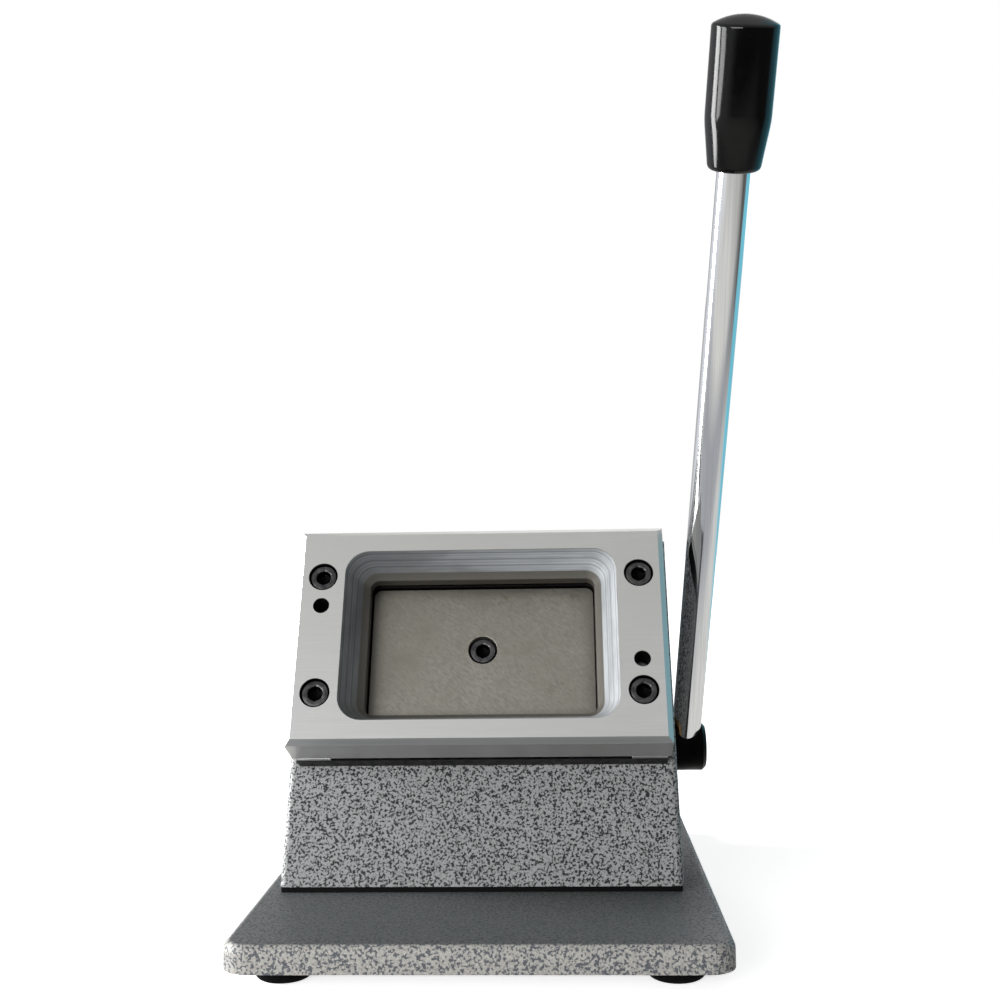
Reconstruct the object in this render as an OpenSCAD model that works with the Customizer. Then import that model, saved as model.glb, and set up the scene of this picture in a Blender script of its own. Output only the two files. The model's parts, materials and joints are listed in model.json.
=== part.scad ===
// Bench cutter for plastic id cards. A lever turns an eccentric that drives a punch through a die.
// The origin is on the bench, under the middle of the base. +Z is up, +X is the lever's side,
// and the user stands at -Y. Every length is in millimetres.

/* [Card] */
// Width of the card that the die cuts
card_w = 86; // [80:0.5:88]
// Height of the card
card_h = 54; // [48:0.5:55]
// Corner radius of the card
card_r = 3.2; // [2:0.1:5]

/* [Base] */
// Width of the base
base_w = 161.5; // [154:0.5:170]
// Depth of the base
base_d = 210; // [205:1:240]
// Thickness of the base
base_t = 9; // [9:0.5:14]
// Radius of the base's corners, seen from above
base_corner_r = 9; // [5:0.5:14]
// Radius of the base's rounded top edge
base_edge_r = 3; // [1:0.5:4]
// Diameter of a rubber foot
foot_d = 19.5; // [17:0.5:20]
// Height of a foot under the base
foot_h = 5.5; // [5:0.5:8]
// Sideways distance from the middle of the base to a foot
foot_x = 62.8; // [60:0.1:65]
// Distance forward or back from the middle of the base to a foot
foot_y = 89.2; // [84:0.1:92]

/* [Body] */
// Width of the body
body_w = 144; // [140:0.2:146]
// Height of the body's top above the bench
body_top = 137; // [135:0.5:142]
// Distance from the middle of the base to the body's back
body_back = 85; // [84:0.5:88]
// Distance that the body sits off the base's middle, away from the lever
body_shift = -2; // [-4:0.5:0]
// Angle between the sloping front and the base
slope = 63.5; // [62:0.5:65]
// Thickness of the side walls
side_wall = 9; // [8:0.5:10]
// Thickness of the sloping front wall
front_wall = 12; // [11:0.5:13]
// Thickness of the top and back walls
rear_wall = 7; // [6:0.5:8]
// Height of the shadow gap where the body stands on the base
gap_h = 1.8; // [0.5:0.1:2]

/* [Die] */
// Distance from the middle of the base to the middle of the die plate's face
die_y = -31.4; // [-33:0.1:-30]
// Height of the middle of the die plate's face
die_z = 105.5; // [104:0.1:107]
// Width of the die plate
plate_w = 138; // [134:0.5:140]
// Length of the die plate along the slope
plate_l = 84.2; // [82:0.2:86]
// Thickness of the die plate
plate_t = 18; // [17:0.5:19]
// Bevel along the edges of the die plate's face
plate_bevel = 2; // [0.5:0.25:3]
// Height of the slot that takes the plastic sheet
slot_h = 2; // [1:0.25:2.5]
// Width of a strip that spaces the die plate off the bolster
strip_w = 13; // [11:0.5:13]
// Thickness of the bolster plate
bolster_t = 7.4; // [6:0.2:8]
// Sideways distance from the middle of the die plate to its screws
screw_x = 59.2; // [58:0.1:60]
// Distance along the slope from the middle of the die plate to its screws
screw_v = 22.9; // [20:0.1:26]
// Distance along the slope from the middle of the die plate to its dowels
dowel_v = 11.15; // [9:0.05:12]

/* [Lever] */
// Diameter of the lever's rod
rod_d = 12; // [10:0.5:14]
// Angle that the lever leans forward at rest, from upright
lever_lean = 26; // [15:1:35]
// Angle that the lever leans outward, away from the body
lever_splay = 2.5; // [0:0.5:5]
// Angle that the lever is pulled through
lever_pull = 60; // [50:1:60]
// Distance from the shaft's axis to the lower end of the knob
knob_start = 240.5; // [220:0.5:260]
// Length of the knob
knob_l = 51; // [48:0.5:60]
// Largest diameter of the knob
knob_d = 23; // [21:0.5:26]

/* [Drive] */
// Diameter of the shaft
shaft_d = 20; // [18:0.5:20]
// Distance from the middle of the base to the shaft's axis
shaft_y = 47.6; // [47:0.1:49]
// Height of the shaft's axis above the bench
shaft_z = 50; // [49:0.1:51]
// Distance that the eccentric is off the shaft's axis
throw = 5; // [4:0.25:5]
// Diameter of the eccentric
cam_d = 40; // [38:0.5:41]
// Gap that stays between the eccentric and the pressure pad
cam_gap = 0.3; // [0.2:0.05:0.4]

/* [Hidden] */
$fn = 64;

fit = 0.05;            // radial play of a turning or sliding fit
play = 0.3;            // gap between faces that move past each other
over = 1;              // how far a cutting shape runs past the solid it cuts

base_top = foot_h + base_t;
bed = plate_t + slot_h + bolster_t;   // depth of the body's front under the die plate's face
inner = bed + front_wall;             // depth of the front wall's inner face
inner_w = body_w - 2 * side_wall;

// M6 socket head screws, which hold the die, the punch and the body
m6 = 6;
m6_head_d = 10;
m6_head_h = 6;
m6_socket = 5;
counterbore_d = 11;
counterbore_h = 7;

// The flared window of the die plate: width, height, corner radius and depth of each level
window_face = [102, 66.6, 9, 0];
window_step = [91, 58.2, 6, 11];
window_land = [card_w, card_h, card_r, 14];
land_gap = 0.2;        // play between punch and die, each side

post_x = 34;
post_v = 37;
post_d = 10;
post_end = 76;         // depth of the rear ends of the guide posts
post_bush_d = 14;
ring_t = 1.2;
spring_d = 15;
spring_wire = 1.6;
spring_turns = 4;

punch_rest = 2.2;      // how far the punch's face stays back from the slot at rest
punch_face = plate_t + slot_h + punch_rest;
punch_t = 14;
punch_screw_v = 1.4;   // how far the punch's screw sits up the slope from its middle
ram_front = 56;        // depth of the ram flange's front face
ram_flange_t = 16;
ram_flange = 92;
ram_back = ram_front + ram_flange_t;

// The shaft's place in the die's own directions: along the slope and in depth
shaft_v = (shaft_y - die_y) * cos(slope) + (shaft_z - die_z) * sin(slope);
shaft_depth = (shaft_y - die_y) * sin(slope) - (shaft_z - die_z) * cos(slope);
half_pull = lever_pull / 2;
pad_face = shaft_depth - cam_d / 2 + throw * sin(half_pull) - cam_gap;
pad_v = shaft_v + throw * (1 + cos(half_pull)) / 2;
pad_seat = 2;          // depth of the pad's pocket in the ram
pad_w = 52;
pad_h = 20;
pad_screw_x = 21;
pad_screw_sink = 0.8;
punch_dowel_x = 30;
punch_dowel_d = 5;
punch_dowel_grip = 8;  // length of a punch dowel in the ram, and in the punch

wall_boss_d = 48;
wall_boss_t = 6;
boss_face = inner_w / 2 - wall_boss_t;
bush_d = 26;
bush_flange_d = 28;
bush_flange_t = 2;
collar_d = 46;
collar_t = 12;
collar_x = -(boss_face - bush_flange_t - play) + collar_t / 2;
stop_d = 6;
stop_r = 18;           // distance of the stop pin from the shaft's axis
stop_angle = 90;       // the stop pin is straight above the shaft
stop_grip = 7;         // how far the stop pin goes into the side wall
stop_reach = 18;       // how far it stands out of the wall's inner face
collar_set_d = 5;
collar_set_l = 10;
collar_set_angle = 240;

cam_w = 30;
cam_set_l = 10;
key_w = 6;
key_l = 28;
key_sink = 3;          // depth of the key in the shaft

shaft_left = -body_w / 2 - 5;
shaft_right = 90;
shaft_bevel = 1.5;
shaft_ring_t = 1.2;
shaft_ring_x = -body_w / 2 - play - shaft_ring_t / 2;
lever_x = 81.7;
rod_grip = 5;          // how far the rod goes past the shaft's axis

knob_bore_l = 30;
knob_low_d = 19;       // the knob's lower end, its rounding, and where the taper above it ends
knob_low_round = 2.3;
knob_waist = 19.5;
knob_waist_r = 40;
knob_rim = 1.5;
knob_dome_r = 22;

cover_w = 128;
cover_h = 114;
cover_t = 2.5;
cover_z = 75;
opening_w = 112;
opening_h = 100;

cover_screw_x = 60;
cover_screw_y = 53;
cover_screw_d = 4;
cover_head_h = 2.4;

body_round = 4;        // rounding along the body's top rear edge
edge_round = 2.5;      // rounding along the sides of its sloping front
back_bevel = 0.8;      // small bevel along the back of the die plate

dowel_d = 6;
dowel_sink = 11;       // depths of a dowel pin's two ends
dowel_end = 36;

body_boss_x = 52;
body_boss_ys = [-20, 69.5];
body_boss_d = 18;
body_boss_h = 9.5;
body_screw_l = 12;
body_screw_sink = 0.3;

foot_screw_d = 4;
foot_screw_l = 8;
foot_head_h = 2.2;
foot_recess_d = 9.5;
foot_recess_h = 3;
foot_round = 2.8;      // rounding along a foot's lower edge

// ---- Places ----

// The middle of the die plate's face, with +Z out of the face and +Y up the slope
module at_die() translate([body_shift, die_y, die_z]) rotate([slope, 0, 0]) children();

// A depth under the die plate's face, with +Z towards the face
module at_depth(depth) at_die() translate([0, 0, -depth]) children();

// The shaft's axis, with +X along the shaft
module at_shaft() translate([body_shift, shaft_y, shaft_z]) children();

// The lever's own axis, with +Z along the rod from the shaft
module at_lever() at_shaft() translate([lever_x, 0, 0]) rotate([lever_lean, 0, 0])
    rotate([0, lever_splay, 0]) children();

module mirrored() {
    children();
    mirror([1, 0, 0]) children();
}

module four(x, y) for (sx = [-1, 1], sy = [-1, 1]) translate([sx * x, sy * y, 0]) children();

// ---- Shapes ----

// Points of an arc, from angle a0 to a1
function arc(centre, r, a0, a1, steps = 8) =
    [for (i = [0 : steps]) let (a = a0 + (a1 - a0) * i / steps) centre + r * [cos(a), sin(a)]];

module rounded_rect(w, h, r) {
    square([w - 2 * r, h], center = true);
    square([w, h - 2 * r], center = true);
    four(w / 2 - r, h / 2 - r) circle(r);
}

// A rod along X, centred on its middle
module x_rod(d, l) rotate([0, 90, 0]) cylinder(d = d, h = l, center = true);

// Extrudes an outline drawn in Y and Z along X
module across(w) rotate([90, 0, 90]) linear_extrude(w, center = true) children();

// Extrudes an outline drawn in X and depth along the slope
module along_slope(l) rotate([-90, 0, 0]) linear_extrude(l, center = true) children();

// Socket head screw with its head's top at the origin and its shank pointing to -Z
module cap_screw(d, head_d, head_h, socket, l) {
    bevel = 0.5;
    difference() {
        union() {
            translate([0, 0, -bevel]) cylinder(d1 = head_d, d2 = head_d - 2 * bevel, h = bevel);
            translate([0, 0, -head_h]) cylinder(d = head_d, h = head_h - bevel);
            translate([0, 0, -head_h - l]) cylinder(d = d, h = l + bevel);
        }
        translate([0, 0, -head_h / 2]) cylinder(d = socket / cos(30), h = head_h, $fn = 6);
    }
}

// Set screw with its outer end at the origin, pointing to -Z
module set_screw(d, l, socket) difference() {
    translate([0, 0, -l]) cylinder(d = d, h = l);
    translate([0, 0, -l / 2]) cylinder(d = socket / cos(30), h = l, $fn = 6);
}

module m6_screw(l) cap_screw(m6, m6_head_d, m6_head_h, m6_socket, l);

// A ring that leaves a gap, as an open retaining ring does
module open_ring(inner_d, outer_d, t, mouth) linear_extrude(t, center = true) difference() {
    circle(d = outer_d);
    circle(d = inner_d);
    translate([0, -mouth / 2]) square([outer_d, mouth]);
}

// Screw with a low round head and a cross recess, with its head's top at the origin, pointing to -Z
module pan_screw(d, head_d, head_h, l) {
    recess = head_d * 0.55;
    difference() {
        union() {
            rotate_extrude() polygon(concat([[0, -head_h], [head_d / 2, -head_h]],
                arc([head_d / 2 - head_h * 0.7, -head_h * 0.7], head_h * 0.7, 0, 90, 4), [[0, 0]]));
            translate([0, 0, -head_h - l]) cylinder(d = d, h = l);
        }
        for (a = [0, 90]) rotate([0, 0, a]) cube([recess, head_d * 0.12, head_h * 1.2], center = true);
    }
}

// A coil spring along +Z: one tube of six sides, with its ends inside 0 and l
module coil_spring(d, wire, l, turns) {
    steps = 12 * turns;
    sides = 6;
    coil_r = (d - wire) / 2;
    points = [for (i = [0 : steps], j = [0 : sides - 1])
        let (a = 360 * i * turns / steps, b = 360 * j / sides, r = coil_r + wire / 2 * cos(b))
        [r * cos(a), r * sin(a), wire / 2 + (l - wire) * i / steps + wire / 2 * sin(b)]];
    walls = [for (i = [0 : steps - 1], j = [0 : sides - 1], half = [0, 1])
        let (p = i * sides + j, q = i * sides + (j + 1) % sides)
        half == 0 ? [p, p + sides, q] : [q, p + sides, q + sides]];
    last = steps * sides;
    start_cap = [for (j = [1 : sides - 2]) [0, j, j + 1]];
    end_cap = [for (j = [1 : sides - 2]) [last, last + j + 1, last + j]];
    polyhedron(points, concat(walls, start_cap, end_cap));
}

// ---- Base ----

// A plate with rounded corners and a rounded top edge
module soft_plate(w, d, t, corner, edge) {
    linear_extrude(t - edge) rounded_rect(w, d, corner);
    linear_extrude(t) rounded_rect(w - 2 * edge, d - 2 * edge, corner - edge);
    four(w / 2 - corner, d / 2 - corner) rotate_extrude() translate([corner - edge, t - edge])
        intersection() {
            circle(edge);
            translate([0, -edge]) square(2 * edge);
        }
    for (s = [-1, 1]) {
        translate([0, s * (d / 2 - edge), t - edge]) x_rod(2 * edge, w - 2 * corner);
        translate([s * (w / 2 - edge), 0, t - edge]) rotate([0, 0, 90]) x_rod(2 * edge, d - 2 * corner);
    }
}

module at_feet() four(foot_x, foot_y) children();

module at_body_screws() for (y = body_boss_ys) translate([body_shift, y, 0])
    mirrored() translate([body_boss_x, 0, 0]) children();

module base_plate() color("dimgray") difference() {
    translate([0, 0, foot_h]) soft_plate(base_w, base_d, base_t, base_corner_r, base_edge_r);
    at_feet() translate([0, 0, foot_h - over])
        cylinder(d = foot_screw_d + 2 * fit, h = foot_screw_l + over);
    at_body_screws() translate([0, 0, foot_h - over]) {
        cylinder(d = counterbore_d, h = body_screw_sink + m6_head_h + over);
        cylinder(d = m6 + 2 * play, h = base_t + 2 * over);
    }
}

module rubber_feet() color("black") at_feet() difference() {
    rotate_extrude() polygon(concat([[0, 0]],
        arc([foot_d / 2 - foot_round, foot_round], foot_round, -90, 0, 6),
        [[foot_d / 2, foot_h], [0, foot_h]]));
    translate([0, 0, -over]) cylinder(d = foot_recess_d, h = foot_recess_h + over);
    cylinder(d = foot_screw_d + 2 * play, h = foot_h + over);
}

module foot_screws() color("silver") at_feet() translate([0, 0, foot_recess_h - foot_head_h])
    rotate([180, 0, 0]) pan_screw(foot_screw_d, 8, foot_head_h, foot_screw_l - 1);

// ---- Body ----

// Where the plane at a depth under the die plate's face is at a height above the bench
function slope_y(z, depth) = die_y + (z - die_z + depth * cos(slope)) / tan(slope) + depth * sin(slope);

// The body's outline seen from its side
module body_side() difference() {
    polygon([[slope_y(base_top, bed), base_top], [slope_y(body_top, bed), body_top],
        [body_back, body_top], [body_back, base_top]]);
    translate([body_back, body_top] - [1, 1] * body_round) difference() {
        square(body_round + over);
        circle(body_round);
    }
}

// The body's outline seen down the slope, with its two front edges rounded
module body_front() translate([0, bed]) {
    translate([-body_w / 2, edge_round]) square([body_w, 3 * body_w]);
    translate([edge_round - body_w / 2, 0]) square([body_w - 2 * edge_round, 2 * edge_round]);
    for (s = [-1, 1]) translate([s * (body_w / 2 - edge_round), edge_round]) circle(edge_round);
}

module body_block() intersection() {
    translate([body_shift, 0, 0]) across(body_w) body_side();
    at_die() along_slope(4 * body_w) body_front();
}

// The shadow gap that runs round the foot of the body
module foot_gap() {
    front = slope_y(base_top, bed);
    translate([body_shift, 0, base_top - over]) linear_extrude(gap_h + over) difference() {
        translate([-body_w, front - body_w]) square([2 * body_w, 3 * body_w]);
        translate([gap_h - body_w / 2, front + 2 * gap_h])
            square([body_w - 2 * gap_h, body_back - front - 3 * gap_h]);
    }
}

module body_hollow() translate([body_shift, 0, 0]) across(inner_w) polygon([
    [slope_y(base_top - over, inner), base_top - over],
    [slope_y(body_top - rear_wall, inner), body_top - rear_wall],
    [body_back - rear_wall, body_top - rear_wall],
    [body_back - rear_wall, base_top - over]]);

// The middle of the body's back, with +Z out of the back
module at_back() translate([body_shift, body_back, cover_z]) rotate([-90, 0, 0]) children();

module at_cover_screws() for (x = [-1, 1], y = [-1, 0, 1])
    translate([x * cover_screw_x, y * cover_screw_y, 0]) children();

module at_dowels() for (s = [-1, 1]) translate([s * screw_x, -s * dowel_v, 0]) children();

module body_casting() color("gray") difference() {
    union() {
        difference() {
            body_block();
            body_hollow();
        }
        at_body_screws() translate([0, 0, base_top]) cylinder(d = body_boss_d, h = body_boss_h);
        at_shaft() mirrored() translate([(boss_face + body_w / 2 - over) / 2, 0, 0])
            x_rod(wall_boss_d, body_w / 2 - over - boss_face);
    }
    foot_gap();
    at_body_screws() translate([0, 0, base_top - over])
        cylinder(d = m6 + 2 * fit, h = body_boss_h + 2 * over);
    at_shaft() x_rod(bush_d + 2 * fit, body_w + 2 * over);
    at_stop() x_rod(stop_d + 2 * fit, 2 * stop_grip);
    at_depth(inner + over) linear_extrude(front_wall + 2 * over)
        rounded_rect(card_w + 2, card_h + 2, card_r + 1);
    at_depth(inner + over) {
        four(screw_x, screw_v) cylinder(d = m6 + 2 * fit, h = front_wall + 2 * over);
        four(post_x, post_v) cylinder(d = post_d + 2 * fit, h = front_wall + 2 * over);
    }
    at_depth(dowel_end) at_dowels() cylinder(d = dowel_d + 2 * fit, h = dowel_end - bed + over);
    at_back() {
        translate([0, 0, -rear_wall - over]) linear_extrude(rear_wall + 2 * over)
            rounded_rect(opening_w, opening_h, 6);
        at_cover_screws() translate([0, 0, -rear_wall - over])
            cylinder(d = cover_screw_d + 2 * fit, h = rear_wall + 2 * over);
    }
}

module body_screws() color("#202022") at_body_screws() translate([0, 0, foot_h + body_screw_sink])
    rotate([180, 0, 0]) m6_screw(body_screw_l);

module rear_cover() color("gray") at_back() linear_extrude(cover_t) difference() {
    rounded_rect(cover_w, cover_h, 8);
    at_cover_screws() circle(d = cover_screw_d + 2 * play);
}

module cover_screws() color("silver") at_back() at_cover_screws()
    translate([0, 0, cover_t + cover_head_h]) pan_screw(cover_screw_d, 7.5, cover_head_h, cover_t + 6);

// ---- Die set ----

// The holes for the screws and dowels through a plate whose back is at z = 0
module die_holes(t) translate([0, 0, -over]) {
    four(screw_x, screw_v) cylinder(d = m6 + 2 * fit, h = t + 2 * over);
    at_dowels() cylinder(d = dowel_d + 2 * fit, h = t + 2 * over);
}

module bolster_plate() color("#26272a") at_depth(bed) difference() {
    linear_extrude(bolster_t) difference() {
        square([plate_w - 2, plate_l], center = true);
        rounded_rect(card_w + 2 * land_gap, card_h + 2 * land_gap, card_r + land_gap);
    }
    die_holes(bolster_t);
}

module strip(side) at_depth(plate_t + slot_h) difference() {
    translate([side * (plate_w / 2 - 1 - strip_w / 2), 0, slot_h / 2])
        cube([strip_w, plate_l, slot_h], center = true);
    die_holes(slot_h);
}

module spacer_left() color("silver") strip(-1);
module spacer_right() color("silver") strip(1);

// A plate's outline across its thickness: bevelled along the face and, less, along its back
module plate_edge(w) polygon([[-w / 2, -plate_bevel], [plate_bevel - w / 2, 0], [w / 2 - plate_bevel, 0],
    [w / 2, -plate_bevel], [w / 2, back_bevel - plate_t], [w / 2 - back_bevel, -plate_t],
    [back_bevel - w / 2, -plate_t], [-w / 2, back_bevel - plate_t]]);

module level(l) translate([0, 0, -l[3]]) linear_extrude(0.01) rounded_rect(l[0], l[1], l[2], $fn = 32);

module flare(upper, lower) hull() {
    level(upper);
    level(lower);
}

module die_plate() color("#b9bcbf") at_die() difference() {
    intersection() {
        across(plate_w) plate_edge(plate_l);
        along_slope(plate_l) mirror([0, 1]) plate_edge(plate_w);
    }
    flare(window_face, window_step);
    flare(window_step, window_land);
    translate([0, 0, -plate_t - over]) linear_extrude(plate_t + over - window_land[3] + 0.01)
        rounded_rect(card_w, card_h, card_r);
    translate([0, 0, -plate_t]) die_holes(plate_t);
    four(screw_x, screw_v) translate([0, 0, -counterbore_h])
        cylinder(d = counterbore_d, h = counterbore_h + over);
}

module die_screws() color("#202022") at_depth(counterbore_h - m6_head_h) four(screw_x, screw_v) m6_screw(30);

module dowel_pins() color("#3a3a3c") at_depth(dowel_end - 1) at_dowels()
    cylinder(d = dowel_d, h = dowel_end - 1 - dowel_sink);

// ---- Guides ----

module guide_posts() color("silver") at_depth(post_end) four(post_x, post_v) difference() {
    union() {
        cylinder(d1 = post_d - 2, d2 = post_d, h = 1);
        translate([0, 0, 1]) cylinder(d = post_d, h = post_end - bed - 1);
    }
    translate([0, 0, post_end - ram_back - play - ring_t - fit]) linear_extrude(ring_t + 2 * fit)
        difference() {
            circle(d = post_d + 2);
            circle(d = post_d - 1);
        }
}

module post_rings() color("#3a3a3c") at_depth(ram_back + play + ring_t / 2) four(post_x, post_v)
    open_ring(post_d - 1, post_d + 4, ring_t, 5);

module return_springs() color("#8c9096") at_depth(ram_front) four(post_x, post_v)
    coil_spring(spring_d, spring_wire, ram_front - inner, spring_turns);

// ---- Shaft and lever ----

module at_stop() at_shaft() rotate([stop_angle, 0, 0]) translate([-inner_w / 2, stop_r, 0]) children();

// The shaft's axis at rest, with +Y towards the eccentric's high side
module at_throw() at_shaft() rotate([slope - half_pull, 0, 0]) children();

module bushing() difference() {
    union() {
        translate([(boss_face + body_w / 2) / 2, 0, 0]) x_rod(bush_d, body_w / 2 - boss_face);
        translate([boss_face - bush_flange_t / 2, 0, 0]) x_rod(bush_flange_d, bush_flange_t);
    }
    x_rod(shaft_d + 2 * fit, 2 * body_w);
}

module bushing_right() color("darkgoldenrod") at_shaft() bushing();
module bushing_left() color("darkgoldenrod") at_shaft() mirror([1, 0, 0]) bushing();

module stop_pin() color("silver") at_stop() translate([(stop_reach - stop_grip) / 2, 0, 0])
    x_rod(stop_d, stop_reach + stop_grip);

module main_shaft() color("#1c1c1e") difference() {
    at_shaft() rotate([0, 90, 0]) rotate_extrude() difference() {
        polygon([[0, shaft_left], [shaft_d / 2 - 1, shaft_left], [shaft_d / 2, shaft_left + 1],
            [shaft_d / 2, shaft_right - shaft_bevel], [shaft_d / 2 - shaft_bevel, shaft_right],
            [0, shaft_right]]);
        translate([shaft_d / 2 - 1, shaft_ring_x - shaft_ring_t / 2 - fit])
            square([2, shaft_ring_t + 2 * fit]);
    }
    at_lever() translate([0, 0, -rod_grip]) cylinder(d = rod_d + 2 * fit, h = shaft_d);
    at_throw() translate([-key_l / 2, shaft_d / 2 - key_sink, -key_w / 2])
        cube([key_l, key_sink + over, key_w]);
}

module eccentric_cam() color("#55585c") at_throw() difference() {
    translate([0, throw, 0]) x_rod(cam_d, cam_w);
    x_rod(shaft_d + 2 * fit, cam_w + 2 * over);
    translate([-cam_w / 2 - over, 0, -key_w / 2])
        cube([cam_w + 2 * over, shaft_d / 2 - key_sink + key_w + fit, key_w]);
    rotate([-90, 0, 0]) cylinder(d = m6 + 2 * fit, h = cam_d);
}

module cam_key() color("silver") at_throw() translate([-key_l / 2, shaft_d / 2 - key_sink, -key_w / 2])
    cube([key_l, key_w, key_w]);

module cam_set_screw() color("#202022") at_throw()
    translate([0, shaft_d / 2 - key_sink + key_w + cam_set_l, 0]) rotate([-90, 0, 0])
    set_screw(m6, cam_set_l, 3);

// The collar's notch, in which the stop pin stands: the lever's pull, the pin and a little play
module collar_notch() {
    side = asin(stop_d / 2 / stop_r) + play / stop_r * 180 / PI;
    difference() {
        polygon(concat([[0, 0]],
            arc([0, 0], collar_d, stop_angle - lever_pull - side, stop_angle + side)));
        circle(stop_r - stop_d / 2 - 0.5);
    }
}

module shaft_collar() color("#55585c") at_shaft() translate([collar_x, 0, 0]) difference() {
    across(collar_t) difference() {
        circle(d = collar_d);
        circle(d = shaft_d + 2 * fit);
        collar_notch();
    }
    rotate([collar_set_angle - 90, 0, 0]) cylinder(d = collar_set_d + 2 * fit, h = collar_d);
}

module collar_set_screw() color("#202022") at_shaft() translate([collar_x, 0, 0])
    rotate([collar_set_angle - 90, 0, 0]) translate([0, 0, shaft_d / 2 + collar_set_l])
    set_screw(collar_set_d, collar_set_l, 2.5);

module shaft_ring() color("#3a3a3c") at_shaft() translate([shaft_ring_x, 0, 0]) rotate([0, 90, 0])
    open_ring(shaft_d - 2, shaft_d + 6, shaft_ring_t, 8);

module lever_rod() color("gainsboro") at_lever() translate([0, 0, -rod_grip]) {
    l = rod_grip + knob_start + knob_bore_l;
    cylinder(d1 = rod_d - 2, d2 = rod_d, h = 1);
    translate([0, 0, 1]) cylinder(d = rod_d, h = l - 2);
    translate([0, 0, l - 1]) cylinder(d1 = rod_d, d2 = rod_d - 2, h = 1);
}

module lever_knob() color("black") at_lever() translate([0, 0, knob_start]) rotate_extrude() {
    rim_x = knob_d / 2 - knob_rim;
    dome_edge = acos(rim_x / (knob_dome_r - knob_rim));
    rim_z = knob_l - knob_dome_r + (knob_dome_r - knob_rim) * sin(dome_edge);
    polygon(concat([[0, knob_bore_l], [rod_d / 2 + fit, knob_bore_l], [rod_d / 2 + fit, 0]],
        arc([knob_low_d / 2 - knob_low_round, knob_low_round], knob_low_round, -90, -8),
        arc([knob_d / 2 - knob_waist_r, knob_waist], knob_waist_r, -7.5, 0, 6),
        arc([rim_x, rim_z], knob_rim, 0, dome_edge, 5),
        arc([0, knob_l - knob_dome_r], knob_dome_r, dome_edge, 90)));
}

// ---- Ram and punch ----

module ram() color("#6d7074") difference() {
    union() {
        at_depth(ram_back) linear_extrude(ram_flange_t) rounded_rect(ram_flange, ram_flange, 6);
        at_depth(ram_front) linear_extrude(ram_front - punch_face - punch_t)
            rounded_rect(card_w - 2, card_h - 2, card_r);
    }
    at_depth(ram_back + over) {
        four(post_x, post_v) cylinder(d = post_bush_d + 2 * fit, h = ram_flange_t + 2 * over);
        translate([0, pad_v, 0]) {
            linear_extrude(pad_seat + over) square([pad_w, pad_h] + [2, 2] * fit, center = true);
            mirrored() translate([pad_screw_x, 0, 0]) cylinder(d = 4 + 2 * fit, h = 14);
        }
    }
    at_depth(ram_front) translate([0, punch_screw_v, 0]) cylinder(d = m6 + 2 * fit, h = ram_front);
    at_depth(punch_face + punch_t + punch_dowel_grip) at_punch_dowels()
        cylinder(d = punch_dowel_d + 2 * fit, h = punch_dowel_grip + over);
}

module post_bushings() color("darkgoldenrod") at_depth(ram_back) four(post_x, post_v)
    linear_extrude(ram_flange_t) difference() {
        circle(d = post_bush_d);
        circle(d = post_d + 2 * fit);
    }

module at_punch_dowels() mirrored() translate([punch_dowel_x, 0, 0]) children();

module punch() color("#8a8378") at_depth(punch_face + punch_t) difference() {
    linear_extrude(punch_t) rounded_rect(card_w - 2 * land_gap, card_h - 2 * land_gap, card_r - land_gap);
    translate([0, punch_screw_v, -over]) cylinder(d = m6 + 2 * play, h = punch_t + 2 * over);
    translate([0, punch_screw_v, punch_t - counterbore_h])
        cylinder(d = counterbore_d, h = counterbore_h + over);
    at_punch_dowels() translate([0, 0, -over])
        cylinder(d = punch_dowel_d + 2 * fit, h = punch_dowel_grip + over);
}

module punch_screw() color("#202022") at_depth(punch_face + counterbore_h - m6_head_h)
    translate([0, punch_screw_v, 0]) m6_screw(20);

module punch_dowels() color("silver") at_depth(punch_face + punch_t + punch_dowel_grip) at_punch_dowels()
    cylinder(d = punch_dowel_d, h = 2 * punch_dowel_grip - play);

module pressure_pad() color("#9a9da1") at_depth(pad_face) translate([0, pad_v, 0]) difference() {
    linear_extrude(pad_face - ram_back + pad_seat) square([pad_w, pad_h], center = true);
    mirrored() translate([pad_screw_x, 0, -over]) {
        cylinder(d = 4 + 2 * play, h = 2 * pad_seat + pad_face - ram_back);
        cylinder(d = 8, h = pad_screw_sink + 4 + over);
    }
}

module pad_screws() color("#202022") at_depth(pad_face - pad_screw_sink) translate([0, pad_v, 0]) mirrored()
    translate([pad_screw_x, 0, 0]) rotate([180, 0, 0]) cap_screw(4, 7, 4, 3, 12);

base_plate();
rubber_feet();
foot_screws();
body_casting();
body_screws();
rear_cover();
cover_screws();
bolster_plate();
spacer_left();
spacer_right();
die_plate();
die_screws();
dowel_pins();
guide_posts();
post_rings();
return_springs();
bushing_left();
bushing_right();
stop_pin();
main_shaft();
eccentric_cam();
cam_key();
cam_set_screw();
shaft_collar();
collar_set_screw();
shaft_ring();
lever_rod();
lever_knob();
ram();
post_bushings();
punch();
punch_screw();
punch_dowels();
pressure_pad();
pad_screws();
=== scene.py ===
"""The looks of a bench cutter for plastic id cards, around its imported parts. Lengths are in metres."""

import json
import math

import bmesh
import bpy
from mathutils import Matrix, Vector


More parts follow.
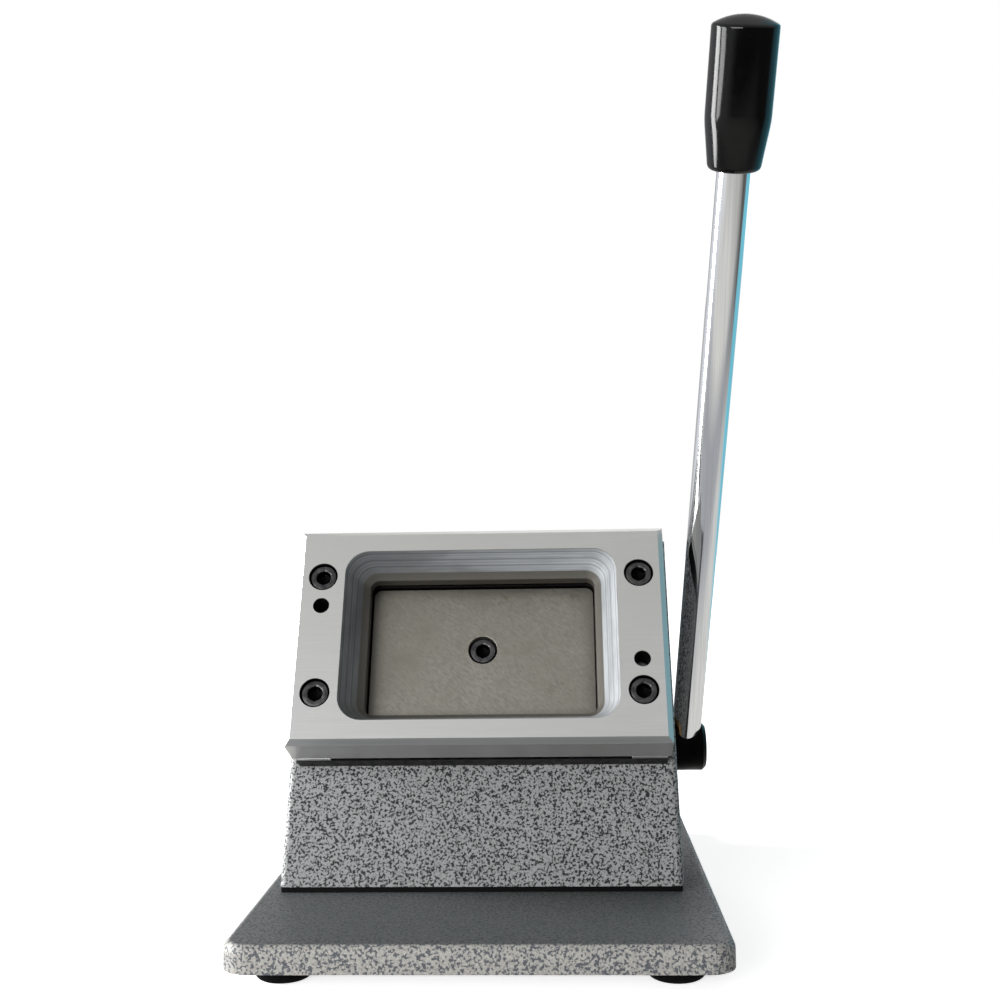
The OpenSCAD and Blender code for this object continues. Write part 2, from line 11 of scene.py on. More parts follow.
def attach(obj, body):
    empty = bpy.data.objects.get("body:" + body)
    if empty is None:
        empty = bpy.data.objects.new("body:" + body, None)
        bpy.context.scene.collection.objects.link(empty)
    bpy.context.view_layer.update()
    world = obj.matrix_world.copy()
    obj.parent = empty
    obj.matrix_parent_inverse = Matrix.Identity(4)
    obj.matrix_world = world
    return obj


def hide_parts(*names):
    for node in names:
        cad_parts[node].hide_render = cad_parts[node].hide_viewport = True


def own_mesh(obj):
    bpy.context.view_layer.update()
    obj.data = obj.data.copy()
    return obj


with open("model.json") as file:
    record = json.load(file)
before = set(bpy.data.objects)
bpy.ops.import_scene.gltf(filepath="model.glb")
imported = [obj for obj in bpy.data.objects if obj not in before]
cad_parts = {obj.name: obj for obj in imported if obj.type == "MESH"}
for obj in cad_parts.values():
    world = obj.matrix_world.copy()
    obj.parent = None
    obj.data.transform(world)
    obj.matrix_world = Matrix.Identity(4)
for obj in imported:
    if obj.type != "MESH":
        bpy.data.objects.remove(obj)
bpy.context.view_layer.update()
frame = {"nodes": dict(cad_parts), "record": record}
nodes = frame["nodes"]

MM = 0.001
BODY_SHIFT = -2 * MM

# The middle of the die plate's face, with Z out of the face and Y up the slope
SLOPE = math.radians(63.5)
DIE = Matrix.Translation((BODY_SHIFT, -31.4 * MM, 105.5 * MM)) @ Matrix.Rotation(SLOPE, 4, "X")

# The lever's axis, which starts on the shaft's and leans forward and a little outward
LEAN = math.radians(26)
LEVER = (
    Matrix.Translation((BODY_SHIFT, 47.6 * MM, 50 * MM))
    @ Matrix.Translation((81.7 * MM, 0, 0))
    @ Matrix.Rotation(LEAN, 4, "X")
    @ Matrix.Rotation(math.radians(2.5), 4, "Y")
)
KNOB_START, KNOB_BORE = 240.5, 30  # where the knob starts on the lever's axis, and how far the rod goes in
UPSIDE_DOWN = Matrix.Rotation(math.pi, 4, "X")

# Measures that both a piece and a finish need, in mm
DIE_SCREWS = (59.2, 22.9)  # across and up the slope from the middle of the die, to either side
PUNCH_SCREW = 1.4  # up the slope from the middle
SCREW_HEAD = 10  # diameter
BASE_TOP = 14.5  # above the bench

# Measures that the finishes of the die and the punch need, in mm
WINDOW = (51.2, 33.5)  # half of a box across and up the slope that holds the window, but no screw
SECOND_FLARE, LAND = 10.8, 13.7  # depths at which the window's walls change
HOLES = (52.2, 65.5, 29.5)  # where the plate's holes start and end across, and end up the slope
PUNCH_SHADE_START = (37, 22)  # where the punch starts to darken, across and up the slope


def offset(x, y, z):
    """A move by a number of mm along each axis."""
    return Matrix.Translation((x * MM, y * MM, z * MM))


def four(x, y):
    """Four places, the same distances to either side of the middle."""
    return [(sx * x, sy * y) for sx in (-1, 1) for sy in (-1, 1)]


# ---- Materials ----


class Nodes:
    """Short calls for the nodes of one material, or of the room."""

    def __init__(self, tree):
        self.tree = tree

    def add(self, kind, **settings):
        node = self.tree.nodes.new(kind)
        for key, value in settings.items():
            setattr(node, key, value)
        return node

    def link(self, source, target):
        self.tree.links.new(source, target)
        return self

    def split(self, coords):
        """The X, Y and Z of coordinates."""
        node = self.add("ShaderNodeSeparateXYZ")
        self.link(coords, node.inputs[0])
        return node.outputs

    def ramp(self, value, *stops):
        """Maps a value to colours or greys: each stop is a place and a colour, or a place and a grey."""
        node = self.add("ShaderNodeValToRGB")
        elements = node.color_ramp.elements
        while len(elements) < len(stops):
            elements.new(1)
        for element, (place, colour) in zip(elements, stops):
            element.position = place
            grey = isinstance(colour, (int, float))
            element.color = (colour, colour, colour, 1) if grey else (*colour, 1)
        self.link(value, node.inputs["Fac"])
        return node.outputs["Color"]

    def math(self, operation, *values):
        node = self.add("ShaderNodeMath", operation=operation)
        for value, socket in zip(values, node.inputs):
            if isinstance(value, bpy.types.NodeSocket):
                self.link(value, socket)
            else:
                socket.default_value = value
        return node.outputs[0]

    def mix(self, factor, a, b):
        node = self.add("ShaderNodeMix", data_type="RGBA")
        for value, socket in ((factor, 0), (a, 6), (b, 7)):
            if isinstance(value, bpy.types.NodeSocket):
                self.link(value, node.inputs[socket])
            elif socket == 0:
                node.inputs[0].default_value = value
            else:
                node.inputs[socket].default_value = (*value, 1)
        return node.outputs[2]


class Finish(Nodes):
    """A material whose patterns lie on the object's own coordinates."""

    def __init__(self, name, **inputs):
        self.material = bpy.data.materials.new(name)
        self.material.use_nodes = True
        super().__init__(self.material.node_tree)
        self.shader = self.tree.nodes["Principled BSDF"]
        self.coords = self.add("ShaderNodeTexCoord").outputs["Object"]
        for key, value in inputs.items():
            self.shader.inputs[key.replace("_", " ")].default_value = value

    def placed(self, turn=(0, 0, 0), scale=(1, 1, 1), shift=(0, 0, 0)):
        """The object's coordinates, shifted and turned and then stretched."""
        turned = self.add("ShaderNodeMapping")
        turned.inputs["Location"].default_value = shift
        turned.inputs["Rotation"].default_value = turn
        self.link(self.coords, turned.inputs["Vector"])
        stretched = self.add("ShaderNodeMapping")
        stretched.inputs["Scale"].default_value = scale
        self.link(turned.outputs["Vector"], stretched.inputs["Vector"])
        return stretched.outputs["Vector"]

    def on_slope(self, scale=(1, 1, 1)):
        """The object's coordinates with Z out of the die plate's face, and then stretched."""
        return self.placed(turn=(-SLOPE, 0, 0), scale=scale)

    def in_die(self):
        """How far a point is across, up the slope and under the face, from the middle of the plate's face."""
        across, up, out = self.split(self.placed(turn=(-SLOPE, 0, 0), shift=DIE.inverted().translation))
        return across, up, self.math("MULTIPLY", out, -1.0)

    def sizes(self, *values):
        """The values without their signs."""
        return [self.math("ABSOLUTE", value) for value in values]

    def all_of(self, *masks):
        """A mask of what all the masks hold."""
        first, *rest = masks
        for mask in rest:
            first = self.math("MULTIPLY", first, mask)
        return first

    def stepped(self, value, start, end):
        """Goes from 0 to 1 while a distance goes from start to end, in mm."""
        node = self.add("ShaderNodeMapRange")
        node.inputs["From Min"].default_value = start * MM
        node.inputs["From Max"].default_value = end * MM
        self.link(value, node.inputs["Value"])
        return node.outputs["Result"]

    def above(self, value, limit, soft=0.3):
        return self.stepped(value, limit, limit + soft)

    def below(self, value, limit, soft=0.3):
        return self.stepped(value, limit + soft, limit)

    def noise(self, scale, detail=2.0, roughness=0.5, distortion=0.0, coords=None):
        node = self.add("ShaderNodeTexNoise")
        node.inputs["Scale"].default_value = scale
        node.inputs["Detail"].default_value = detail
        node.inputs["Roughness"].default_value = roughness
        node.inputs["Distortion"].default_value = distortion
        self.link(coords or self.coords, node.inputs["Vector"])
        return node.outputs["Fac"]

    def layers(self, coords, axis, scale, detail=3.0):
        """Noise that changes along one axis only, as a cutter's passes do."""
        node = self.add("ShaderNodeTexNoise", noise_dimensions="1D")
        node.inputs["Scale"].default_value = scale
        node.inputs["Detail"].default_value = detail
        self.link(self.split(coords)[axis], node.inputs["W"])
        return node.outputs["Fac"]

    def to(self, key, value):
        self.link(value, self.shader.inputs[key])
        return self

    def bump(self, *layers):
        """Raises the surface by layers of (height value, distance in metres, strength)."""
        normal = None
        for height, distance, strength in layers:
            node = self.add("ShaderNodeBump")
            node.inputs["Distance"].default_value = distance
            node.inputs["Strength"].default_value = strength
            self.link(height, node.inputs["Height"])
            if normal:
                self.link(normal, node.inputs["Normal"])
            normal = node.outputs["Normal"]
        return self.to("Normal", normal)


def scaled(colour, factor):
    """A lighter or darker colour."""
    return [min(1, c * factor) for c in colour]


def hammertone(name, light, dark, shine=0.38, top=None):
    """Speckled enamel: separate dark spots, under 1 mm wide and 2 mm apart, in a light grey skin.

    On the face at the height given as top, in mm, the colour is darkened to a dull grey: painted shade for the
    little light that falls there.
    """
    f = Finish(name, Specular_IOR_Level=0.35)
    spots = f.noise(1120, detail=1.6, roughness=0.55, distortion=0.3)
    skin = f.ramp(f.noise(1700, detail=1), (0.3, scaled(light, 0.84)), (0.7, scaled(light, 1.16)))
    shade = f.ramp(spots, (0.415, 0.0), (0.46, 0.45), (0.52, 1.0))
    paint = f.mix(shade, dark, skin)
    if top:
        # Painted shade: the top face is darkened, standing in for the weak light that reaches it.
        painted_shade_top = f.mix(0.84, paint, (light[0] * 0.12, light[1] * 0.15, light[2] * 0.17))
        paint = f.mix(f.above(f.split(f.coords)["Z"], top - 0.35), paint, painted_shade_top)
    f.to("Base Color", paint)
    f.to("Roughness", f.ramp(shade, (0.0, 0.6), (1.0, shine)))
    return f.bump((shade, 0.00006, 0.35), (f.noise(330, detail=1), 0.00012, 0.3)).material


def ground_plate(name, colour, roughness):
    """Ground plate with faint lines along X on its face, and holes painted black as painted shade.

    The window's walls show a cutter's passes and patches. As painted shade, they are darkened towards the left,
    in the second flare to a browner grey and in the land to nearly black, deeper in the window.
    """
    f = Finish(name)
    across, up, depth = f.in_die()
    off_across, off_up = f.sizes(across, up)
    window = f.all_of(f.below(off_across, WINDOW[0]), f.below(off_up, WINDOW[1]), f.above(depth, 0.1))
    start, end, top = HOLES
    # Painted shade: the plate's holes are painted nearly black below the face.
    hole_shade = f.all_of(
        f.above(off_across, start), f.below(off_across, end), f.below(off_up, top), f.above(depth, 0.45)
    )
    grain = f.noise(2200, detail=3, coords=f.on_slope((0.02, 1, 1)))
    cloud = f.noise(14, detail=6, roughness=0.6, coords=f.on_slope((0.7, 1, 1)))
    passes = f.layers(f.on_slope(), "Z", 900, detail=4)
    patches = f.noise(55, detail=4, roughness=0.6, coords=f.on_slope((0.7, 0.7, 2.5)))
    tone = f.ramp(grain, (0.3, scaled(colour, 0.96)), (0.7, scaled(colour, 1.04)))
    worn_tone = (colour[0] * 0.83, colour[1] * 0.825, colour[2] * 0.8)
    tone = f.mix(f.ramp(cloud, (0.35, 0.0), (0.66, 0.75)), tone, worn_tone)
    wall = f.ramp(passes, (0.36, (0.36, 0.384, 0.41)), (0.5, (0.58, 0.61, 0.64)), (0.66, (0.72, 0.745, 0.77)))
    wall = f.mix(f.ramp(patches, (0.4, 0.0), (0.62, 0.45)), wall, (0.26, 0.27, 0.275))
    # Painted shade: the walls darken from the right towards the left.
    wall = f.mix(f.stepped(across, -43, 43), f.mix(0.55, wall, (0.0, 0.0, 0.0)), wall)
    # Painted shade: the second flare and the land, deeper in the window, are darker, the land nearly black.
    wall = f.mix(f.above(depth, SECOND_FLARE), wall, f.mix(cloud, (0.13, 0.123, 0.105), (0.2, 0.192, 0.17)))
    wall = f.mix(f.above(depth, LAND), wall, (0.05, 0.046, 0.038))
    f.to("Base Color", f.mix(hole_shade, f.mix(window, tone, wall), (0.012, 0.012, 0.013)))
    worn = f.ramp(cloud, (0.3, roughness * 0.88), (0.7, roughness * 1.14))
    f.to("Roughness", f.mix(hole_shade, f.mix(window, worn, (0.45, 0.45, 0.45)), (0.7, 0.7, 0.7)))
    f.to("Metallic", f.math("SUBTRACT", 1.0, f.math("MULTIPLY", window, 0.5)))
    return f.bump((grain, 0.00001, 0.3), (passes, 0.00007, 0.5)).material


def bright_strip(name, colour, roughness):
    """Cold rolled strip, with lines along its length, which runs up the slope."""
    f = Finish(name, Metallic=1.0)
    grain = f.noise(2400, detail=3, coords=f.on_slope((1, 0.03, 1)))
    f.to("Base Color", f.ramp(grain, (0.3, scaled(colour, 0.9)), (0.7, scaled(colour, 1.06))))
    f.to("Roughness", f.ramp(f.noise(60, detail=3), (0.3, roughness * 0.85), (0.7, roughness * 1.2)))
    return f.bump((grain, 0.000015, 0.35)).material


def worn_punch(name, colour, roughness):
    """Hardened punch: warm grey, clouded, ground fine at a slant, with painted shade darkening it round its rim,
    and small stains.
    """
    f = Finish(name, Metallic=0.9)
    off_across, off_up = f.sizes(*f.in_die()[:2])
    # Painted shade: the punch darkens round its rim, where the window's walls shade it.
    rim = f.math("MAXIMUM", f.above(off_across, PUNCH_SHADE_START[0], 6), f.above(off_up, PUNCH_SHADE_START[1], 5))
    slanting = f.placed(turn=(-SLOPE, 0, 0.7), scale=(0.35, 1, 1))
    grain = f.noise(1500, detail=4, roughness=0.6, coords=slanting)
    cloud = f.noise(30, detail=5, roughness=0.62)
    tone = f.ramp(grain, (0.33, scaled(colour, 0.78)), (0.67, scaled(colour, 1.2)))
    cloud_tone = (colour[0] * 0.74, colour[1] * 0.73, colour[2] * 0.68)
    tone = f.mix(f.ramp(cloud, (0.36, 0.0), (0.68, 0.7)), tone, cloud_tone)
    tone = f.mix(f.math("MULTIPLY", rim, 0.5), tone, scaled(colour, 0.5))
    stain = f.ramp(f.noise(75, detail=5, roughness=0.7), (0.64, 0.0), (0.74, 0.5))
    f.to("Base Color", f.mix(stain, tone, (0.12, 0.085, 0.05)))
    f.to("Roughness", f.ramp(grain, (0.35, roughness * 0.9), (0.65, roughness * 1.12)))
    return f.bump((grain, 0.00001, 0.3)).material


def turned_metal(name, colour, roughness, grain=0.08):
    """Bare or plated metal with a fine grain and no direction."""
    f = Finish(name, Metallic=1.0)
    fine = f.noise(900, detail=4, roughness=0.6)
    f.to("Base Color", f.ramp(fine, (0.3, scaled(colour, 1 - grain)), (0.7, scaled(colour, 1 + grain))))
    f.to("Roughness", f.ramp(f.noise(140, detail=3), (0.3, roughness * 0.85), (0.7, roughness * 1.2)))
    return f.bump((fine, 0.00002, 0.2)).material


def black_oxide(name, roughness, colour, worn=2.0, shade_sockets=False):
    """Blackened steel, a little browner and brighter where it is rubbed.

    Optionally, the hexagonal socket and the rim of the head of each screw in the die and the punch are painted
    black: painted shade in the socket and in the gap of its counterbore.
    """
    f = Finish(name, Metallic=1.0)
    rubbed = f.noise(420, detail=4)
    bare = (colour[0] * worn * 1.06, colour[1] * worn, colour[2] * worn * 0.95)
    tone = f.ramp(rubbed, (0.35, scaled(colour, 0.7)), (0.75, bare))
    rough = f.ramp(rubbed, (0.3, roughness * 0.8), (0.75, roughness * 1.25))
    if shade_sockets:
        across, up, _ = f.in_die()
        off_across, off_up = f.sizes(across, up)
        places = (
            (f.math("SUBTRACT", off_across, DIE_SCREWS[0] * MM), f.math("SUBTRACT", off_up, DIE_SCREWS[1] * MM)),
            (off_across, f.math("SUBTRACT", up, PUNCH_SCREW * MM)),
        )
        reach = [
            f.math("SQRT", f.math("ADD", f.math("MULTIPLY", a, a), f.math("MULTIPLY", b, b))) for a, b in places
        ]
        from_axis = f.math("MINIMUM", *reach)
        # Painted shade: each socket and the rim round each head are painted black.
        socket_shade, rim = f.below(from_axis, 2.75, 0.15), f.above(from_axis, SCREW_HEAD / 2 - 0.45, 0.3)
        tone = f.mix(f.math("MAXIMUM", socket_shade, rim), tone, (0.003, 0.003, 0.003))
        rough = f.mix(socket_shade, rough, (0.5, 0.5, 0.5))
    f.to("Base Color", tone)
    f.to("Roughness", rough)
    return f.bump((f.noise(1500, detail=2), 0.000015, 0.3)).material


def chrome(name):
    """Chrome plate with faint lengthwise polishing lines."""
    f = Finish(name, Metallic=1.0)
    haze = f.noise(60, detail=3)
    lines = f.noise(1500, detail=2, coords=f.placed(turn=(-LEAN, 0, 0), scale=(1, 1, 0.012)))
    f.to("Base Color", f.ramp(lines, (0.3, (0.74, 0.75, 0.77)), (0.6, (0.86, 0.865, 0.875))))
    f.to("Roughness", f.ramp(haze, (0.35, 0.03), (0.75, 0.09)))
    return f.bump((f.noise(35, detail=2), 0.00002, 0.1)).material


def gloss_black(name):
    """Moulded black plastic, glossy, with a slight swell left by the mould."""
    f = Finish(name, Specular_IOR_Level=0.26)
    cloud = f.noise(70, detail=3)
    f.to("Base Color", f.ramp(cloud, (0.3, (0.0005, 0.0005, 0.0005)), (0.7, (0.001, 0.001, 0.0011))))
    f.to("Roughness", f.ramp(f.noise(500, detail=3), (0.4, 0.09), (0.75, 0.16)))
    return f.bump((f.noise(45, detail=1), 0.00007, 0.12)).material


def rubber(name):
    """Matt black rubber."""
    f = Finish(name, Roughness=0.8, Specular_IOR_Level=0.1)
    fine = f.noise(1300, detail=3)
    f.to("Base Color", f.ramp(fine, (0.3, 0.0008), (0.7, 0.003)))
    return f.bump((fine, 0.00005, 0.4)).material


def powder_coat(name, colour):
    """Satin powder coat with its orange peel."""
    f = Finish(name)
    orange_peel = f.noise(900, detail=2)
    f.to("Base Color", f.ramp(f.noise(40, detail=3), (0.3, scaled(colour, 0.85)), (0.7, scaled(colour, 1.15))))
    f.to("Roughness", f.ramp(orange_peel, (0.3, 0.42), (0.7, 0.6)))
    return f.bump((orange_peel, 0.00006, 0.4)).material


BODY_LIGHT = (0.29, 0.293, 0.296)
BASE_LIGHT = (0.35, 0.34, 0.315)
PAINT_DARK = (0.006, 0.0065, 0.0075)
materials = {
    "base_paint": hammertone("base_paint", BASE_LIGHT, scaled(PAINT_DARK, 13), top=BASE_TOP),
    "body_paint": hammertone("body_paint", BODY_LIGHT, PAINT_DARK),
    "cover_paint": powder_coat("cover_paint", (0.05, 0.052, 0.055)),
    "foot_rubber": rubber("foot_rubber"),
    "zinc_steel": turned_metal("zinc_steel", (0.62, 0.63, 0.63), 0.3),
    "black_screws": black_oxide("black_screws", 0.32, (0.07, 0.07, 0.074), worn=1.6, shade_sockets=True),
    "black_steel": black_oxide("black_steel", 0.45, (0.008, 0.008, 0.0085)),
    "ground_steel": ground_plate("ground_steel", (0.62, 0.62, 0.61), 0.33),
    "spacer_steel": bright_strip("spacer_steel", (0.5, 0.5, 0.5), 0.36),
    "punch_steel": worn_punch("punch_steel", (0.265, 0.252, 0.222), 0.5),
    "machined_steel": turned_metal("machined_steel", (0.5, 0.51, 0.52), 0.33),
    "spring_steel": turned_metal("spring_steel", (0.4, 0.41, 0.43), 0.3),
    "bronze": turned_metal("bronze", (0.22, 0.145, 0.07), 0.45, grain=0.2),
    "shaft_steel": black_oxide("shaft_steel", 0.4, (0.004, 0.004, 0.0043), worn=1.5),
    "rod_chrome": chrome("rod_chrome"),
    "knob_plastic": gloss_black("knob_plastic"),
}
for node in nodes.values():
    for slot in node.material_slots:
        slot.material = materials[slot.material.name.split(".")[0]]

bodies = {
    node: body for body, members in frame["record"]["behaviour"]["bodies"].items() for node in members
}
slots = {s["node"]: s["material_slot"] for s in frame["record"]["subparts"]}


# ---- Pieces ----


def finish_piece(name, bm, stands_for=None, smooth_to=30, slot=None):
    """Makes a piece of a bmesh that is in place. Edges that turn by more than smooth_to degrees stay sharp."""
    mesh = bpy.data.meshes.new(name)
    bm.to_mesh(mesh)
    bm.free()
    mesh.polygons.foreach_set("use_smooth", [True] * len(mesh.polygons))
    mesh.set_sharp_from_angle(angle=math.radians(smooth_to))
    piece = bpy.data.objects.new(name, mesh)
    bpy.context.scene.collection.objects.link(piece)
    slot = slot or slots[stands_for]
    mesh.materials.append(materials[slot])
    if stands_for:
        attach(piece, bodies[stands_for])
        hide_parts(stands_for)
    else:
        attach(piece, "frame")
    return piece


def add_part(bm, part, place):
    """Puts a finished part into a bmesh that may hold several, with its faces turned outwards."""
    bmesh.ops.recalc_face_normals(part, faces=part.faces)
    part.transform(place)
    carrier = bpy.data.meshes.new("part")
    part.to_mesh(carrier)
    part.free()
    bm.from_mesh(carrier)
    bpy.data.meshes.remove(carrier)


class Turning:
    """A closed part drawn out ring by ring about the Z axis, in mm."""

    def __init__(self, points, radius, height, corners=None):
        self.part = bmesh.new()
        bmesh.ops.create_circle(self.part, cap_ends=False, segments=corners or points, radius=radius * MM)
        if corners:
            bmesh.ops.subdivide_edges(self.part, edges=self.part.edges, cuts=points // corners - 1)
        bmesh.ops.translate(self.part, vec=(0, 0, height * MM), verts=self.part.verts)
        self.rim = list(self.part.edges)
        self.first = list(self.rim)

    def ring(self, radius=None, height=None, start=False, squeeze=1.0, notch=0.0):
        """Draws out the last ring, or the first one, to a new radius and height.

        Every other point may be set in, as on a knurl. A ring without a radius keeps its shape, squeezed.
        """
        made = bmesh.ops.extrude_edge_only(self.part, edges=self.first if start else self.rim)["geom"]
        verts = [g for g in made if isinstance(g, bmesh.types.BMVert)]
        for v in verts:
            flat = Vector((v.co.x, v.co.y, 0))
            if radius is None:
                flat *= squeeze
            else:
                set_in = notch and round(math.atan2(v.co.y, v.co.x) / math.tau * len(verts)) % 2
                flat = flat.normalized() * (radius - notch * set_in) * MM
            v.co = (flat.x, flat.y, v.co.z if height is None else height * MM)
        rim = [g for g in made if isinstance(g, bmesh.types.BMEdge)]
        if start:
            self.first = rim
        else:
            self.rim = rim
        return self

    def turned(self, profile):
        for radius, height in profile:
            self.ring(radius, height)
        return self

    def close(self):
        bmesh.ops.edgeloop_fill(self.part, edges=self.rim + self.first)
        return self

    def join_ends(self):
        bmesh.ops.remove_doubles(self.part, verts=self.part.verts, dist=0.001 * MM)
        return self


def arc(x, z, r, a0, a1, steps=6):
    """Points of an arc of a profile, from angle a0 to a1 in degrees."""
    angles = [math.radians(a0 + (a1 - a0) * i / steps) for i in range(steps + 1)]
    return [(x + r * math.cos(a), z + r * math.sin(a)) for a in angles]


def solid_of_turning(bm, profile, place, points=64):
    """A turned part whose profile starts and ends near its axis."""
    (radius, height), *rest = profile
    add_part(bm, Turning(points, radius, height).turned(rest).close().part, place)


def tube_of_turning(bm, profile, place, points=64):
    """A turned part with a bore: its profile comes back to where it starts."""
    (radius, height), *rest = profile
    add_part(bm, Turning(points, radius, height).turned(rest + [(radius, height)]).join_ends().part, place)


def dressed(node, edge, turn=25, segments=2):
    """The node's own shape, with a small round on each edge that turns by more than turn degrees."""
    bm = bmesh.new()
    bm.from_mesh(nodes[node].data)
    bmesh.ops.remove_doubles(bm, verts=bm.verts, dist=1e-6)
    bmesh.ops.dissolve_limit(bm, angle_limit=math.radians(0.5), verts=bm.verts, edges=bm.edges)
    sharp = [e for e in bm.edges if len(e.link_faces) == 2 and e.calc_face_angle(0) > math.radians(turn)]
    round_off = {"affect": "EDGES", "profile": 0.5, "material": -1, "clamp_overlap": True}
    bmesh.ops.bevel(bm, geom=sharp, offset=edge * MM, segments=segments, **round_off)
    piece = finish_piece(node + "_finished", bm, node, smooth_to=24)
    weight = piece.modifiers.new("flat_faces", "WEIGHTED_NORMAL")
    weight.keep_sharp = True
    return piece


M6_SCREW = (SCREW_HEAD, 6, 5, 6)  # diameter and height of the head, width of the socket, diameter of the shank


def socket_screw(bm, place, head_d, head_h, socket, shank_d, shank_l, points=96):
    """A socket head screw: knurled head with a rounded rim, deep hexagonal socket, shank with a thread."""
    head, shank = head_d / 2, shank_d / 2
    corner = socket / 2 / math.cos(math.radians(30))
    knurl, pitch, thread = 0.3, 1, 0.45
    screw = Turning(points, corner, -0.25, corners=6)
    screw.turned([(corner + 0.3, 0), (head - 0.95, 0), (head - 0.35, -0.12)])
    screw.turned([(head - 0.1, -0.42), (head, -0.85), (head, -1.15)])
    screw.ring(head, -1.3, notch=knurl).ring(head, 0.35 - head_h, notch=knurl)
    screw.turned([(head - 0.3, -head_h), (shank + 0.3, -head_h), (shank, -0.3 - head_h)])
    for turn in range(int(shank_l) - 3):
        height = -head_h - 1.2 - turn * pitch
        screw.turned([(shank, height), (shank - thread, height - pitch / 2)])
    tip = -head_h - shank_l
    screw.turned([(shank - 0.2, tip + 0.6), (shank - 0.8, tip), (0.2, tip)])
    floor_of_socket = -0.62 * head_h
    screw.ring(start=True, height=floor_of_socket)
    screw.ring(start=True, height=floor_of_socket - 0.25 * corner, squeeze=0.05)
    add_part(bm, screw.close().part, place)


def socket_screws(node, places, *sizes):
    """All screws of a node in one piece, each with its head's top at its place."""
    bm = bmesh.new()
    for place in places:
        socket_screw(bm, place, *sizes)
    return finish_piece(node + "_detailed", bm, node, 28)


def knob():
    """The black knob: a cone, a break, a straight part, a small rim and a domed top, with a bore for the rod."""
    bm = bmesh.new()
    narrow, wide, height = 9.5, 11.5, 51
    foot, swell, rim, dome = 2.3, 40, 1.5, 22  # radii of the four rounds
    bore = [(0.3, KNOB_BORE), (5.5, KNOB_BORE), (6.05, KNOB_BORE - 0.5), (6.05, 0.5), (6.5, 0)]
    profile = (
        bore
        + arc(narrow - foot, foot, foot, -90, -8)
        + arc(wide - swell, 19.5, swell, -7.5, 0, 10)
        + [(wide, 30), (wide, 40)]
        + arc(wide - rim, height - 4.1, rim, 0, 60.8)
        + arc(0, height - dome, dome, 60.8, 89.3, 14)[1:]
    )
    solid_of_turning(bm, profile, LEVER @ offset(0, 0, KNOB_START), 96)
    return finish_piece("lever_knob_turned", bm, "lever_knob", 38)


def rod():
    """The bright rod, from inside the shaft to inside the knob."""
    bm = bmesh.new()
    radius, end = 6, KNOB_START + KNOB_BORE
    start = [(0.3, -5), (5.1, -5), (5.8, -4.6), (radius, -4)]
    middle = [(radius, z) for z in range(0, 270, 30)]
    solid_of_turning(bm, start + middle + [(radius, end - 0.7), (5.2, end), (0.3, end)], LEVER, 96)
    return finish_piece("lever_rod_polished", bm, "lever_rod", 35)


def feet():
    """Rubber feet: moulded, slightly tapered, with a hollow for the screw's head."""
    bm = bmesh.new()
    radius, rounding, bore, hollow = 9.7, 2.8, 2.35, 4.75
    profile = (
        [(bore, 3), (hollow, 3), (hollow, 0.25), (hollow + 0.25, 0)]
        + arc(radius - rounding, rounding, rounding, -90, 0, 8)
        + [(radius - 0.15, 4.3), (radius - 0.05, 5.1), (radius, 5.5), (bore, 5.5)]
    )
    for x, y in four(62.8, 89.2):
        tube_of_turning(bm, profile, offset(x, y, 0), 64)
    return finish_piece("rubber_feet_moulded", bm, "rubber_feet", 32)


def gap_shade_strip():
    """A thin black strip of the feet's rubber in the gap between the body's foot and the base: a dark thing put
    there as painted shade for the shadow line under the body.
    """
    left, right, front, back = -73.4, 69.4, -45.4, 84.3
    width, thickness = 0.9, 1.75
    bm = bmesh.new()
    bmesh.ops.create_grid(bm, x_segments=1, y_segments=1, size=0.5)
    bmesh.ops.scale(bm, vec=((right - left) * MM, (back - front) * MM, 1), verts=bm.verts)
    bmesh.ops.inset_region(bm, faces=bm.faces, thickness=width * MM, use_boundary=True)
    middle = max(bm.faces, key=lambda face: face.calc_area())
    bmesh.ops.delete(bm, geom=[middle], context="FACES")
    bmesh.ops.solidify(bm, geom=bm.faces, thickness=thickness * MM)
    lowest = min(v.co.z for v in bm.verts)
    place = Vector(((left + right) / 2 * MM, (front + back) / 2 * MM, (BASE_TOP + 0.02) * MM - lowest))
    bmesh.ops.translate(bm, vec=place, verts=bm.verts)
    corners = [e for e in bm.edges if abs(e.verts[0].co.z - e.verts[1].co.z) > MM]
    bmesh.ops.bevel(bm, geom=corners, offset=0.8 * MM, affect="EDGES", segments=3, profile=0.5, material=-1)
    bmesh.ops.recalc_face_normals(bm, faces=bm.faces)
    return finish_piece("gap_shade_strip", bm, slot="foot_rubber")


def springs():
    """Return springs of smooth round wire, with closed and ground ends."""
    bm = bmesh.new()
    wire, coil, front, length, stroke = 1.6, 6.7, 39.4, 16.6, 5
    for x, up in four(34, 37):
        part = bmesh.new()
        bmesh.ops.create_circle(part, cap_ends=True, segments=14, radius=wire / 2 * MM)
        part.transform(offset(coil, 0, wire / 2) @ Matrix.Rotation(math.radians(90), 4, "X"))
        ring = list(part.edges)
        for share, turns in ((0.1, 1), (0.8, 2.4), (0.1, 1)):
            steps, angle = round(36 * turns), math.tau * turns
            rise = (length - wire) * share / steps * MM
            spun = bmesh.ops.spin(
                part, geom=ring, cent=(0, 0, 0), axis=(0, 0, 1), dvec=(0, 0, rise), angle=angle, steps=steps
            )
            ring = [g for g in spun["geom_last"] if isinstance(g, bmesh.types.BMEdge)]
        bmesh.ops.edgeloop_fill(part, edges=ring)
        add_part(bm, part, DIE @ offset(x, up, -front - length))
    piece = finish_piece("return_springs_coiled", bm, "return_springs", 40)
    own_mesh(piece)
    return piece


